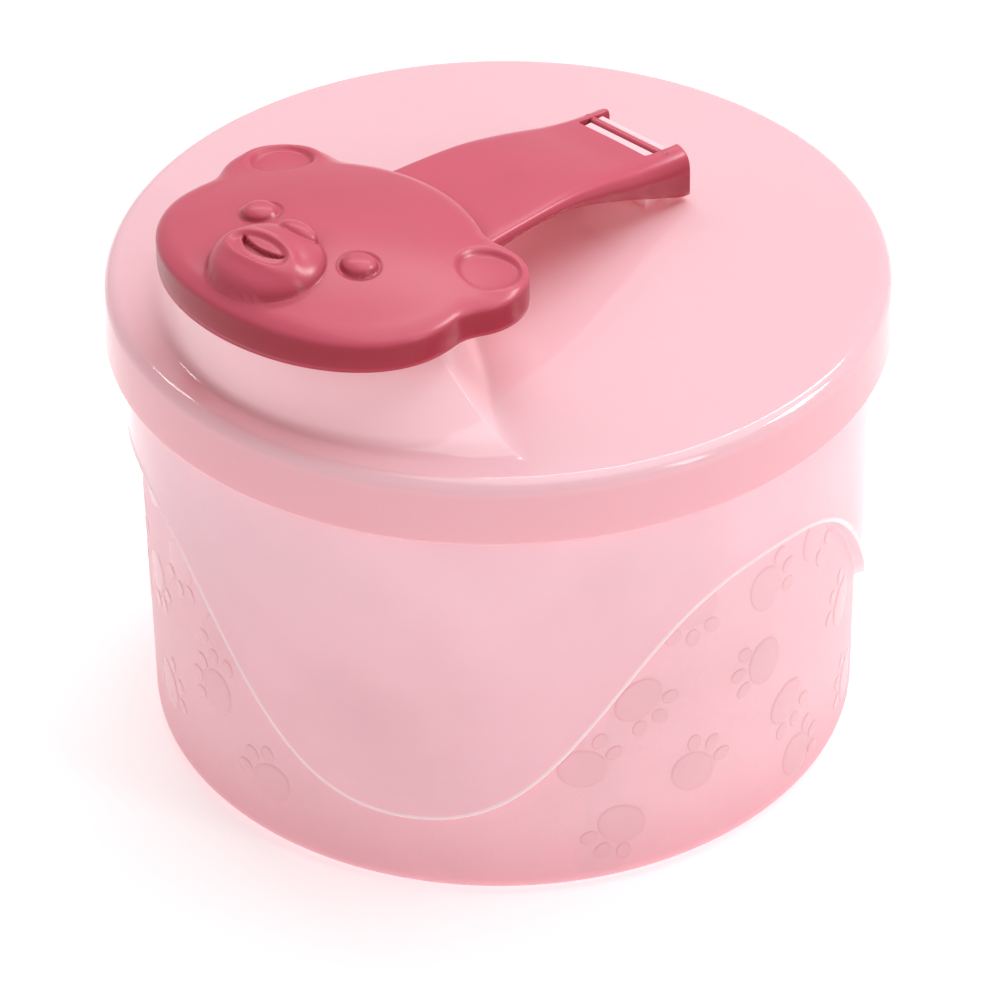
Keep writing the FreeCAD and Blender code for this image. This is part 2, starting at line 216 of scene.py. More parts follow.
# Arm as (y, value) stations: heights of its top and underside above the lid, its half width, how far its
# hollow stays from its sides, and the size of its shoulders
ARM_START = -17.0
ARM_TAIL = 29.6
ARM_TOP = [(ARM_START, 14), (-5, 13.6), (4.5, 12.9), (12, 11.5), (18, 10), (24, 8.9), (28.4, 8.3),
           (ARM_TAIL, 8.2)]
ARM_UNDERSIDE = [(ARM_START, 11.3), (-5, 11.7), (2.5, 10.9), (10.5, 8.3), (18, 5.2), (24, 2.6), (28.4, 0.9),
                 (ARM_TAIL, 0.8)]
ARM_HALF_WIDTH = [(ARM_START, 12), (0, 11.0), (17, 9.8), (26, 9.4), (ARM_TAIL, 9.4)]
ARM_WALL = [(ARM_START, 2), (17, 3.2), (ARM_TAIL, 2.9)]
ARM_SHOULDER = [(ARM_START, 0.9), (0, 1.1), (12, 1.7), (20, 2.1), (ARM_TAIL, 2.1)]
ARM_SKIN = 1.8
ARM_CROWN = 0.25
# Height of the hollow under each column of the arm, from side to middle, as a share of its full height
HOLLOW_RISES = (0, 0.1, 0.5, 0.75, 0.86, 0.93, 0.97, 1, 1, 1, 1)
SLOT_HALF_WIDTH = 6.5
SLOT_FRONT = HINGE_Y - 2.9
# Columns of the arm on each side of the slot
SLOT_SIDE_COLUMNS = 7

# Studio light: strength of the white surroundings as fill, in reflections, and as the camera sees them
AMBIENT = 0.32
REFLECTED = 0.55
BACKDROP = 0.72


# ---------------------------------------------------------------- mesh tools

class Shape:
    """Points, faces and material numbers of one object, gathered piece by piece."""

    def __init__(self):
        self.points = []
        self.faces = []
        self.materials = []
        self.count = 0

    def add(self, points, faces, kinds=None):
        """Adds points, and faces that count them from 0; kinds is a material number for each face."""
        points = np.asarray(points, float).reshape(-1, 3)
        self.faces += [tuple(int(corner) + self.count for corner in face) for face in faces]
        self.points.append(points)
        self.materials += kinds or [0] * len(faces)
        self.count += len(points)

    def rings(self, rings, loop=True, ends=(False, False), materials=None):
        """Skins closed rings of equal size. loop joins the last ring to the first; ends closes with a fan."""
        rings = np.asarray(rings, float)
        rows, columns = rings.shape[:2]
        faces, kinds = ring_faces(rows, columns, loop, materials)
        points = rings.reshape(-1, 3)
        for end, row, flip in ((ends[0], 0, True), (ends[1], rows - 1, False)):
            if end:
                points = np.vstack([points, rings[row].mean(axis=0)])
                centre = len(points) - 1
                for k in range(columns):
                    a, b = row * columns + k, row * columns + (k + 1) % columns
                    faces.append((b, a, centre) if flip else (a, b, centre))
                    kinds.append(kinds[0] if flip else kinds[-1])
        self.add(points, faces, kinds)

    def object(self, name, materials):
        mesh = bpy.data.meshes.new(name)
        mesh.from_pydata((np.vstack(self.points) * MM).tolist(), [], self.faces)
        for material in materials:
            mesh.materials.append(material)
        mesh.polygons.foreach_set("material_index", self.materials)
        mesh.polygons.foreach_set("use_smooth", [True] * len(self.faces))
        mesh.update()
        made = bpy.data.objects.new(name, mesh)
        bpy.context.scene.collection.objects.link(made)
        return made


def ring_faces(rows, columns, loop, materials):
    """Faces between neighbouring rings and a material number for each; materials holds one for each ring."""
    faces, kinds = [], []
    for row in range(rows if loop else rows - 1):
        below, above = row * columns, (row + 1) % rows * columns
        kind = materials[row] if materials is not None else 0
        for k in range(columns):
            after = (k + 1) % columns
            faces.append((below + k, below + after, above + after, above + k))
            kinds.append(kind)
    return faces, kinds


def circle_points(radius, z, angles):
    heights = np.broadcast_to(z, angles.shape)
    return np.stack([radius * np.cos(angles), radius * np.sin(angles), heights], axis=-1)


def even_angles(count):
    return np.arange(count) * 2 * math.pi / count


def rounded(corners):
    """Closed outline of (u, v, fillet) corners, each fillet turned into an arc."""
    corners = [np.array(c, float) for c in corners]
    outline = []
    for k, corner in enumerate(corners):
        before, after = corners[k - 1][:2], corners[(k + 1) % len(corners)][:2]
        here, fillet = corner[:2], corner[2]
        if fillet == 0:
            outline.append(here)
            continue
        to_before = (before - here) / np.linalg.norm(before - here)
        to_after = (after - here) / np.linalg.norm(after - here)
        half = math.acos(np.clip(to_before @ to_after, -1, 1)) / 2
        reach = fillet / math.tan(half)
        middle = to_before + to_after
        centre = here + middle / np.linalg.norm(middle) * fillet / math.sin(half)
        start, stop = here + to_before * reach - centre, here + to_after * reach - centre
        sweep = math.atan2(start[0] * stop[1] - start[1] * stop[0], start @ stop)
        for share in np.linspace(0, 1, FILLET_STEPS + 1):
            c, s = math.cos(sweep * share), math.sin(sweep * share)
            outline.append(centre + np.array((c * start[0] - s * start[1], s * start[0] + c * start[1])))
    return np.array(outline)


def arc(centre, radius, first, last, steps):
    """Arc of (u, v) points, angles in degrees from the u axis."""
    angles = np.radians(np.linspace(first, last, steps + 1))
    return np.stack([centre[0] + radius * np.cos(angles), centre[1] + radius * np.sin(angles)], axis=-1)


def lathe(outline, columns, centre=(0, 0)):
    """Rings for a closed outline of (radius, z) points turned about an upright axis."""
    angles = even_angles(columns)
    rings = [circle_points(radius, z, angles) for radius, z in outline]
    return np.array(rings) + np.array((centre[0], centre[1], 0))


def bevelled(outline, place, thickness, bevel, segments=3):
    """Points and faces of a flat outline made thick, placed by place(u, v, w), with rounded edges."""
    work = bmesh.new()
    lower = [work.verts.new(place(u, v, -thickness / 2)) for u, v in outline]
    upper = [work.verts.new(place(u, v, thickness / 2)) for u, v in outline]
    work.faces.new(lower[::-1])
    work.faces.new(upper)
    for k in range(len(outline)):
        after = (k + 1) % len(outline)
        work.faces.new((lower[k], lower[after], upper[after], upper[k]))
    bmesh.ops.recalc_face_normals(work, faces=work.faces)
    sharp = [e for e in work.edges if e.calc_face_angle(0) > SHARP_EDGE]
    bmesh.ops.bevel(work, geom=sharp, offset=bevel, segments=segments, profile=0.5, affect="EDGES")
    work.verts.index_update()
    points = [tuple(vert.co) for vert in work.verts]
    faces = [tuple(vert.index for vert in face.verts) for face in work.faces]
    work.free()
    return points, faces


def snap_bead(wall, peak, z):
    """Outline of a rounded bead that stands out of a wall at radius `wall`, as far as radius `peak`."""
    outline = []
    for t in np.linspace(-math.pi / 2, math.pi / 2, 9):
        radius = wall + (peak - wall) * math.cos(t) ** 2
        outline.append((radius, z + BEAD_HALF_HEIGHT * t / (math.pi / 2)))
    return outline


def smooth_line(stations, at):
    """Value at each place in `at` of a smooth curve through (place, value) stations."""
    places, values = np.array(stations, float).T
    slopes = np.gradient(values, places)
    at = np.clip(at, places[0], places[-1])
    k = np.clip(np.searchsorted(places, at) - 1, 0, len(places) - 2)
    gap = places[k + 1] - places[k]
    t = (at - places[k]) / gap
    start, end = values[k], values[k + 1]
    return ((1 + 2 * t) * (1 - t) ** 2 * start + t * (1 - t) ** 2 * gap * slopes[k]
            + t ** 2 * (3 - 2 * t) * end + t ** 2 * (t - 1) * gap * slopes[k + 1])


def smooth_step(low, high, value):
    t = np.clip((value - low) / (high - low), 0, 1)
    return t * t * (3 - 2 * t)


def soft_max(a, b, blend):
    """Larger of two heights, with the crease between them rounded over `blend`."""
    near = np.maximum(blend - np.abs(a - b), 0) / blend
    return np.maximum(a, b) + near ** 2 * blend / 4


def soft_min(a, b, blend):
    return -soft_max(-a, -b, blend)


def finish_piece(piece, body, weighted=True):
    """Says what a piece stands for, and evens the shading of its flat faces next to its rounds."""
    if weighted:
        even = piece.modifiers.new("even_shading", "WEIGHTED_NORMAL")
        even.keep_sharp = True
    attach(piece, body)
    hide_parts(body)


# ---------------------------------------------------------------- materials

def new_material(name):
    material = bpy.data.materials.new(name)
    material.use_nodes = True
    return material, material.node_tree, material.node_tree.nodes["Principled BSDF"]


def add_node(tree, kind, **values):
    """Adds a shader node; a value whose name is an input sets that input, any other sets a property."""
    node = tree.nodes.new(kind)
    for key, value in values.items():
        label = key.replace("_", " ").title()
        if label in node.inputs:
            node.inputs[label].default_value = value
        else:
            setattr(node, key, value)
    return node


def colour(red, green, blue):
    """Linear colour from sRGB values of 0 to 255."""
    linear = []
    for value in (red, green, blue):
        share = value / 255
        linear.append(share / 12.92 if share <= 0.04045 else ((share + 0.055) / 1.055) ** 2.4)
    return (*linear, 1.0)


def grain(tree, scale, detail):
    """Fine noise in object space, with `scale` lumps to the metre."""
    place = add_node(tree, "ShaderNodeTexCoord")
    noise = add_node(tree, "ShaderNodeTexNoise", scale=scale, detail=detail)
    tree.links.new(place.outputs["Object"], noise.inputs["Vector"])
    return noise.outputs["Fac"]


def tint(tree, factor, low, high, dark, light):
    """Colour that runs from dark to light as factor runs from low to high."""
    ramp = add_node(tree, "ShaderNodeMapRange")
    ramp.inputs["From Min"].default_value = low
    ramp.inputs["From Max"].default_value = high
    tree.links.new(factor, ramp.inputs["Value"])
    mix = add_node(tree, "ShaderNodeMix", data_type="RGBA")
    mix.inputs["A"].default_value = dark
    mix.inputs["B"].default_value = light
    tree.links.new(ramp.outputs["Result"], mix.inputs["Factor"])
    return mix.outputs["Result"]


def value_range(tree, factor, low, high):
    ramp = add_node(tree, "ShaderNodeMapRange")
    ramp.inputs["To Min"].default_value = low
    ramp.inputs["To Max"].default_value = high
    tree.links.new(factor, ramp.inputs["Value"])
    return ramp.outputs["Result"]


def bump(tree, shader, height, strength, distance):
    node = add_node(tree, "ShaderNodeBump", strength=strength, distance=distance)
    tree.links.new(height, node.inputs["Height"])
    tree.links.new(node.outputs["Normal"], shader.inputs["Normal"])


def paint_glow(material, low_tone, high_tone, low, high):
    """Painted glow: emission in place of light that a milky plastic gives back from inside, low_tone at
    height low and high_tone at high.
    """
    tree = material.node_tree
    shader = tree.nodes["Principled BSDF"]
    light = tint(tree, height_share(tree, low, high), 0, 1, (*low_tone, 1), (*high_tone, 1))
    tree.links.new(light, shader.inputs["Emission Color"])
    shader.inputs["Emission Strength"].default_value = 1.0


def multiply_colour(material, tone):
    """Multiplies a material's base colour by another colour socket."""
    tree = material.node_tree
    shader = tree.nodes["Principled BSDF"]
    source = shader.inputs["Base Color"].links[0].from_socket
    mix = add_node(tree, "ShaderNodeMix", data_type="RGBA", blend_type="MULTIPLY")
    mix.inputs["Factor"].default_value = 1.0
    tree.links.new(source, mix.inputs["A"])
    tree.links.new(tone, mix.inputs["B"])
    tree.links.new(mix.outputs["Result"], shader.inputs["Base Color"])


def paint_shade_on_sides(material, tone):
    """Painted shade: multiplies the colour by tone where the piece is steep, and a little less underneath."""
    underside_share, level_from = 0.55, 0.72
    tree = material.node_tree
    place = add_node(tree, "ShaderNodeTexCoord")
    split = add_node(tree, "ShaderNodeSeparateXYZ")
    tree.links.new(place.outputs["Normal"], split.inputs["Vector"])
    underneath = add_node(tree, "ShaderNodeMath", operation="MULTIPLY")
    tree.links.new(split.outputs["Z"], underneath.inputs[0])
    underneath.inputs[1].default_value = -underside_share
    level = add_node(tree, "ShaderNodeMath", operation="MAXIMUM")
    tree.links.new(split.outputs["Z"], level.inputs[0])
    tree.links.new(underneath.outputs[0], level.inputs[1])
    multiply_colour(material, tint(tree, level.outputs[0], 0.0, level_from, (*tone, 1), (1, 1, 1, 1)))


def paint_shade_in_creases(material, tone, distance):
    """Painted shade: multiplies the colour by tone where the piece closes in on itself within distance, in
    metres.
    """
    closed, clear = 0.45, 0.95
    tree = material.node_tree
    hollow = add_node(tree, "ShaderNodeAmbientOcclusion", samples=8, only_local=True)
    hollow.inputs["Distance"].default_value = distance
    shade = tint(tree, hollow.outputs["AO"], closed, clear, (*tone, 1), (1, 1, 1, 1))
    multiply_colour(material, shade)


def paint_shade_low(material, tone, low, high):
    """Painted shade: multiplies the colour by tone below height low, fading to no change at height high, in
    metres.
    """
    tree = material.node_tree
    multiply_colour(material, tint(tree, height_share(tree, low, high), 0, 1, (*tone, 1), (1, 1, 1, 1)))


def height_share(tree, low, high):
    """0 at height low and 1 at height high, in metres."""
    place = add_node(tree, "ShaderNodeTexCoord")
    split = add_node(tree, "ShaderNodeSeparateXYZ")
    tree.links.new(place.outputs["Object"], split.inputs["Vector"])
    ramp = add_node(tree, "ShaderNodeMapRange")
    ramp.inputs["From Min"].default_value = low
    ramp.inputs["From Max"].default_value = high
    ramp.interpolation_type = "SMOOTHSTEP"
    tree.links.new(split.outputs["Z"], ramp.inputs["Value"])
    return ramp.outputs["Result"]


def moulded(name, base, roughness, scatter, mottle, mottle_scale, grain_scale=0, grain_depth=0.0,
            specular=0.5):
    """Moulded plastic: soft light scatter, faint cloudiness, varied gloss and, where asked, a fine grain."""
    material, tree, shader = new_material(name)
    clouds = grain(tree, mottle_scale, detail=3.0)
    dark = tuple(channel * (1 - mottle) for channel in base[:3]) + (1.0,)
    light = tuple(min(1.0, channel * (1 + mottle)) for channel in base[:3]) + (1.0,)
    tree.links.new(tint(tree, clouds, 0.3, 0.7, dark, light), shader.inputs["Base Color"])
    tree.links.new(value_range(tree, clouds, roughness * 0.85, roughness * 1.15), shader.inputs["Roughness"])
    shader.inputs["IOR"].default_value = 1.49
    shader.inputs["Specular IOR Level"].default_value = specular
    shader.inputs["Subsurface Weight"].default_value = scatter
    shader.inputs["Subsurface Radius"].default_value = (1.0, 0.55, 0.55)
    shader.inputs["Subsurface Scale"].default_value = 0.003
    if grain_scale:
        bump(tree, shader, grain(tree, grain_scale, detail=2.0), 1.0, grain_depth)
    return material


def pot_materials():
    """Polished band, frosted lower wall, polished paw prints, and a lighter plastic painted as a highlight on
    the wave's edge and the foot's corner.
    """
    band = moulded("pot_polished", colour(240, 190, 200), roughness=0.12, scatter=0.35,
                   mottle=0.06, mottle_scale=45, specular=0.3)
    frosted = moulded("pot_frosted", colour(243, 188, 197), roughness=0.42, scatter=0.35,
                      mottle=0.03, mottle_scale=90, grain_scale=2600, grain_depth=0.00006)
    prints = moulded("pot_paw_prints", colour(244, 187, 197), roughness=0.25, scatter=0.35,
                     mottle=0.02, mottle_scale=90)
    # Painted highlight: a lighter, glossier copy of the plastic for the bright line along the wave's step and
    # the foot's corner
    edge = moulded("pot_painted_highlight", colour(253, 224, 229), roughness=0.1, scatter=0.35,
                   mottle=0.01, mottle_scale=90)
    for material in (band, frosted, prints, edge):
        # Painted shade: the pot gets darker towards its foot
        paint_shade_low(material, (0.93, 0.80, 0.83), low=0.001, high=0.016)
        # Painted glow: the pot's plastic gives off a faint light that rises with height
        paint_glow(material, (0.12, 0.06, 0.06), (0.17, 0.12, 0.125), low=0.03, high=0.06)
    return [band, frosted, prints, edge]


# ---------------------------------------------------------------- pot

def wall_radius(z):
    return WALL_RADIUS_LOW + (WALL_RADIUS_HIGH - WALL_RADIUS_LOW) * (z - POT_CORNER) / (RIM_TOP - POT_CORNER)


def bore_point(share):
    """(radius, z) on the pot's tapered bore, from its floor at 0 to its rim at 1."""
    radius = BORE_RADIUS_LOW + (BORE_RADIUS_HIGH - BORE_RADIUS_LOW) * share
    return radius, FLOOR_TOP + (RIM_TOP - FLOOR_TOP) * share


def wave_height(angle):
    swing = (1 + WAVE_FLATTENING) * np.cos(COMPARTMENTS * angle)
    swing = swing - WAVE_FLATTENING * np.cos(3 * COMPARTMENTS * angle)
    return WAVE_MIDDLE + WAVE_SWING * swing


def pot_outside(angles):
    """
    Rings of the outer wall from the foot to the bead, with a material for each ring. They follow the wave, a
    small step with a bead along it.
    """
    wave = wave_height(angles)
    slope = np.gradient(wave, angles) / BAND_RADIUS
    half = STEP_HALF_WIDTH * np.sqrt(1 + slope ** 2)
    rings, kinds = [], []
    for share in np.linspace(0, 1, FROSTED_ROWS + 1)[1:]:
        z = POT_CORNER + (wave - half - POT_CORNER) * share
        rings.append(circle_points(wall_radius(z), z, angles))
        kinds.append(FROSTED)
    for share in np.linspace(0, 1, STEP_ROWS + 1)[1:]:
        z = wave - half + 2 * half * share
        low = wall_radius(z)
        step = low + (BAND_RADIUS - low) * smooth_step(0, STEP_END_SHARE, share)
        bead = WAVE_BEAD * math.exp(-((share - WAVE_BEAD_SHARE) / WAVE_BEAD_SPREAD) ** 2)
        rings.append(circle_points(step + bead, z, angles))
        # The upper part of the step takes the painted highlight
        kinds.append(PAINTED_HIGHLIGHT if share > PAINTED_HIGHLIGHT_SHARE else PRINT)
    top = POT_BEAD_Z - 1.2
    for share in np.linspace(0, 1, BAND_ROWS + 1)[1:]:
        rings.append(circle_points(BAND_RADIUS, wave + half + (top - wave - half) * share, angles))
        kinds.append(POLISHED)
    return rings, kinds


def build_pot():
    """The pot as one run of rings: under the foot, up the outside, over the rim and down the bore."""
    angles = even_angles(POT_COLUMNS)
    rings, kinds = [], []

    def add(outline, kind=POLISHED):
        for radius, z in outline:
            rings.append(circle_points(radius, z, angles))
            kinds.append(kind)

    add([(radius, FOOT_RECESS) for radius in (1, 15, 30, FOOT_RADIUS - 1.6)])
    add([(FOOT_RADIUS - 1.1, FOOT_RECESS - 0.12), (FOOT_RADIUS - 0.2, 0.12), (FOOT_RADIUS + 0.3, 0)])
    corner = arc((WALL_RADIUS_LOW - POT_CORNER, POT_CORNER), POT_CORNER, -90, 0, 9)
    # The lower part of the bottom corner takes the painted highlight
    add(corner[:4], PAINTED_HIGHLIGHT)
    add(corner[4:], FROSTED)
    outside, outside_kinds = pot_outside(angles)
    rings += outside
    kinds += outside_kinds
    add(snap_bead(BAND_RADIUS, POT_BEAD_RADIUS, POT_BEAD_Z))
    rim_width = BAND_RADIUS - BORE_RADIUS_HIGH
    add(arc((BAND_RADIUS - RIM_FILLET, RIM_TOP - RIM_FILLET), RIM_FILLET, 0, 90, 5))
    add([(BAND_RADIUS - rim_width / 2, RIM_TOP)])
    add(arc((BORE_RADIUS_HIGH + RIM_FILLET, RIM_TOP - RIM_FILLET), RIM_FILLET, 90, 180, 5))
    add([bore_point(share) for share in (0.9, 0.7, 0.5, 0.3, 0.15)])
    add(arc((BORE_RADIUS_LOW - POT_CORNER, FLOOR_TOP + POT_CORNER), POT_CORNER, 0, -90, 8))
    add([(radius, FLOOR_TOP) for radius in (45, 30, 15, 1)])
    shape = Shape()
    # Each row of faces takes the material of the ring above it
    shape.rings(rings, loop=False, ends=(True, True), materials=kinds[1:] + [POLISHED])
    return shape


def compartment_turns():
    """Turns about Z that bring a piece on +X to each of the divider's vanes."""
    return [Matrix.Rotation(math.radians(90 + k * 360 / COMPARTMENTS), 3, "Z") for k in range(COMPARTMENTS)]


def add_ribs(shape):
    """Pairs of ribs inside the pot; each pair is a slot for a vane."""
    low = FLOOR_TOP - WELD
    sunk = BORE_RADIUS_HIGH + 0.3
    outline = [
        (BORE_RADIUS_LOW - RIB_REACH, low),
        (sunk, low),
        (sunk, RIB_TOP),
        (BORE_RADIUS_LOW - RIB_REACH / 2, RIB_TOP),
        (BORE_RADIUS_LOW - RIB_REACH, RIB_TOP - 3),
    ]
    for turn in compartment_turns():
        for side in (-RIB_OFFSET, RIB_OFFSET):
            def place(u, v, w):
                return turn @ Vector((u, side + w, v))
            shape.add(*bevelled(outline, place, RIB_THICKNESS, bevel=0.3))


def add_pad(shape, angle, z, radii, lean):
    """Low oval pad on the pot's wall. Its long axis leans by `lean` from upright, in radians."""
    turn = even_angles(28)
    rings = []
    for reach, height in PAD_SECTION:
        across, up = reach * radii[0] * np.cos(turn), reach * radii[1] * np.sin(turn)
        u = across * math.cos(lean) - up * math.sin(lean)
        v = across * math.sin(lean) + up * math.cos(lean)
        radius = wall_radius(z + v) + height
        at = angle + u / WALL_RADIUS_HIGH
        rings.append(np.stack([radius * np.cos(at), radius * np.sin(at), z + v], axis=-1))
    shape.rings(rings, loop=False, ends=(False, True), materials=[PRINT] * len(rings))


def add_paw_prints(shape):
    """Paw prints on the frosted waves: an oval pad with three toes on one side."""
    for zone, prints in ((0, PRINTS_AHEAD), (120, PRINTS_AHEAD), (-120, PRINTS_ASIDE)):
        for angle, z, toes in prints:
            along, lean = math.radians(toes), math.radians(toes - 90)
            place = math.radians(zone + angle)
            add_pad(shape, place, z, PAD_RADII, lean)
            for spread in (-TOE_SPREAD, 0, TOE_SPREAD):
                way = along + math.radians(spread)
                u, v = TOE_REACH * math.cos(way), TOE_REACH * math.sin(way)
                add_pad(shape, place + u / WALL_RADIUS_HIGH, z + v, TOE_RADII, way - math.pi / 2)


def make_pot():
    shape = build_pot()
    add_ribs(shape)
    add_paw_prints(shape)
    pot = shape.object("pot_visual", pot_materials())
    finish_piece(pot, "pot")


# ---------------------------------------------------------------- divider and seal

def make_divider():
    shape = Shape()
    bore = BORE_RADIUS_LOW - VANE_GAP
    shoulder = DIVIDER_HIGH - VANE_NOTCH_DEPTH
    outline = rounded([
        (VANE_START, DIVIDER_LOW, 0),
        (bore - 0.2, DIVIDER_LOW, 3.4),
        (bore + 1.1, shoulder, 0.8),
        (VANE_TOP_REACH, shoulder, 0.8),
        (VANE_TOP_REACH, DIVIDER_HIGH, 1.2),
        (VANE_START, DIVIDER_HIGH, 0),
    ])
    for turn in compartment_turns():
        def place(u, v, w):
            return turn @ Vector((u, w, v))
        shape.add(*bevelled(outline, place, VANE_THICKNESS, bevel=0.4))
    hub = rounded([
        (NEAR_AXIS, DIVIDER_HIGH, 0),
        (HUB_RADIUS, DIVIDER_HIGH, 0.8),
        (HUB_RADIUS, DIVIDER_LOW, 0.5),
        (HUB_BORE, DIVIDER_LOW, 0.5),
        (HUB_BORE, DIVIDER_HIGH - HUB_ROOF, 0.6),
        (NEAR_AXIS, DIVIDER_HIGH - HUB_ROOF, 0),
    ])
    shape.rings(lathe(hub, 96)[:, ::-1], loop=True)
    material = moulded("divider_plastic", colour(246, 205, 212), roughness=0.28, scatter=0.3,
                       mottle=0.03, mottle_scale=60)
    finish_piece(shape.object("divider_visual", [material]), "divider")


def make_seal():
    shape = Shape()
    inner = SEAL_RADIUS - SEAL_WIDTH
    outline = rounded([
        (inner, SEAL_LOW, 0.3),
        (SEAL_RADIUS, SEAL_LOW, 0.35),
        (SEAL_RADIUS, SEAL_HIGH, 0.35),
        (inner, SEAL_HIGH, 0.3),
    ])
    shape.rings(lathe(outline, 480), loop=True)
    material = moulded("seal_silicone", colour(250, 240, 240), roughness=0.5, scatter=0.4,
                       mottle=0.02, mottle_scale=120, grain_scale=1500, grain_depth=0.00003)
    finish_piece(shape.object("lid_seal_visual", [material]), "lid_seal")


# ---------------------------------------------------------------- lid

def spout_angles():
    """Directions from the spout's axis, with close neighbours at the funnel's two side ridges."""
    angles = list(even_angles(LID_COLUMNS))
    for ridge in (0, math.pi):
        angles += [ridge - RIDGE_STEP, ridge + RIDGE_STEP]
    return np.array(sorted(angle % (2 * math.pi) for angle in angles))


def reach_to_circle(radius, angles):
    """Reach from the spout's axis to a circle about the lid's centre."""
    along = SPOUT_Y * np.sin(angles)
    return -along + np.sqrt(along ** 2 + radius ** 2 - SPOUT_Y ** 2)


def foot_reach(angles, front_radius, back_radius):
    """
    Reach from the spout's axis to the funnel's foot. Ahead, the foot is an arc about the lid's centre.
    Behind, it is an arc about the spout, with a straight line from each end to the corner on that side.
    """
    side = math.sqrt(front_radius ** 2 - SPOUT_Y ** 2)
    off_corner = np.minimum(angles, math.pi - angles)
    behind = back_radius / np.cos(np.maximum(math.acos(back_radius / side) - off_corner, 0))
    return np.where(np.sin(angles) > 1e-9, behind, reach_to_circle(front_radius, angles))


def flare_share(spread):
    """Height of the bell-shaped flare as a share of its rise: spread is 0 at the neck and 1 at the foot."""
    return (1 - spread ** 2) ** 3


def skirt_outline():
    """(radius, z) outline about the lid's axis: down the skirt, up inside it, and round the plug ring."""
    outline = [
        (SKIRT_RADIUS - 0.28, LID_TOP - LID_EDGE - 0.4),
        (SKIRT_RADIUS - 0.15, (LID_TOP + SKIRT_BOTTOM) / 2),
        (SKIRT_RADIUS - 0.02, SKIRT_BOTTOM + 0.9),
    ]
    outline += list(arc((SKIRT_RADIUS - 0.5, SKIRT_BOTTOM + 0.5), 0.5, 0, -90, 5))
    outline += list(arc((SKIRT_INNER + 0.4, SKIRT_BOTTOM + 0.4), 0.4, -90, -180, 4))
    outline += snap_bead(SKIRT_INNER, LID_BEAD_RADIUS, LID_BEAD_Z)
    outline += [(SKIRT_INNER, CEILING - 2)]
    outline += list(arc((SKIRT_INNER - 0.4, CEILING - 0.4), 0.4, 0, 90, 4))
    tip = CEILING - PLUG_RING_DEPTH
    outline += [(PLUG_RING_RADIUS + 0.2, CEILING), (PLUG_RING_RADIUS, CEILING - 0.2)]
    outline += list(arc((PLUG_RING_RADIUS - 0.4, tip + 0.4), 0.4, 0, -90, 4))
    outline += list(arc((PLUG_RING_INNER + 0.4, tip + 0.4), 0.4, -90, -180, 4))
    outline += [(PLUG_RING_INNER, CEILING - 0.15)]
    return outline


def build_lid():
    """The lid as one loop of rings: over the spout, down the funnel, round the skirt and back up the bore."""
    angles = spout_angles()
    rings = []

    def around_spout(reach, z):
        reach = np.broadcast_to(reach, angles.shape)
        rings.append(np.stack([reach * np.cos(angles), SPOUT_Y + reach * np.sin(angles),
                               np.full(angles.shape, z)], axis=-1))

    def around_lid(radius, z):
        around_spout(reach_to_circle(radius, angles), z)

    rim = (SPOUT_RADIUS - SPOUT_BORE) / 2
    for radius, z in arc((SPOUT_BORE + rim, SPOUT_TOP - rim), rim, 180, 0, 9):
        around_spout(radius, z)
    neck_z = LID_TOP + FLARE_RISE
    for radius, z in ((SPOUT_RADIUS, neck_z + 0.35), (SPOUT_RADIUS + 0.05, neck_z + 0.15)):
        around_spout(radius, z)
    foot = foot_reach(angles, FUNNEL_FRONT_RADIUS, FUNNEL_BACK_RADIUS)
    for spread in np.linspace(0, 1, FLARE_ROWS):
        reach = NECK_RADIUS + (foot - NECK_RADIUS) * spread
        around_spout(reach, LID_TOP + FLARE_RISE * flare_share(spread))
    top_radius = SKIRT_RADIUS - SKIRT_DRAFT
    flat = reach_to_circle(top_radius - LID_EDGE, angles)
    for share in (0.03, 0.12, 0.3, 0.5, 0.7, 0.88, 0.97):
        around_spout(foot + (flat - foot) * share, LID_TOP)
    for radius, z in arc((top_radius - LID_EDGE, LID_TOP - LID_EDGE), LID_EDGE, 90, 0, 9):
        around_lid(radius, z)
    for radius, z in skirt_outline():
        around_lid(radius, z)
    hole = foot_reach(angles, FUNNEL_HOLE_RADIUS, FUNNEL_HOLE_BACK)
    ring = reach_to_circle(PLUG_RING_INNER - 0.15, angles)
    for share in (1, 0.7, 0.4, 0.15, 0.04):
        around_spout(hole + (ring - hole) * share, CEILING)
    hole_top = neck_z - FUNNEL_WALL
    for spread in np.linspace(1, 0, FLARE_ROWS_INSIDE):
        reach = SPOUT_BORE + (hole - SPOUT_BORE) * spread
        around_spout(reach, CEILING + (hole_top - CEILING) * flare_share(spread))
    shape = Shape()
    shape.rings(np.array(rings)[:, ::-1], loop=True)
    return shape


def add_hinge_clip(shape):
    """Post with a cradle for the cap's cross-bar."""
    bore = BAR_RADIUS + 0.05
    mouth = math.degrees(math.asin(CLIP_LIP / bore))
    foot = LID_TOP - WELD - HINGE_Z
    outline = [(CLIP_FRONT, foot), (CLIP_FRONT, CLIP_LIP - CLIP_CORNER), (CLIP_FRONT + CLIP_CORNER, CLIP_LIP)]
    outline += [tuple(point) for point in arc((0, 0), bore, 180 - mouth, 360 + mouth, 16)]
    outline += [(CLIP_BACK - CLIP_CORNER, CLIP_LIP), (CLIP_BACK, CLIP_LIP - CLIP_CORNER), (CLIP_BACK, foot)]

    def place(u, v, w):
        return Vector((w, HINGE_Y + u, HINGE_Z + v))

    shape.add(*bevelled(outline, place, CLIP_WIDTH, bevel=0.12, segments=2))


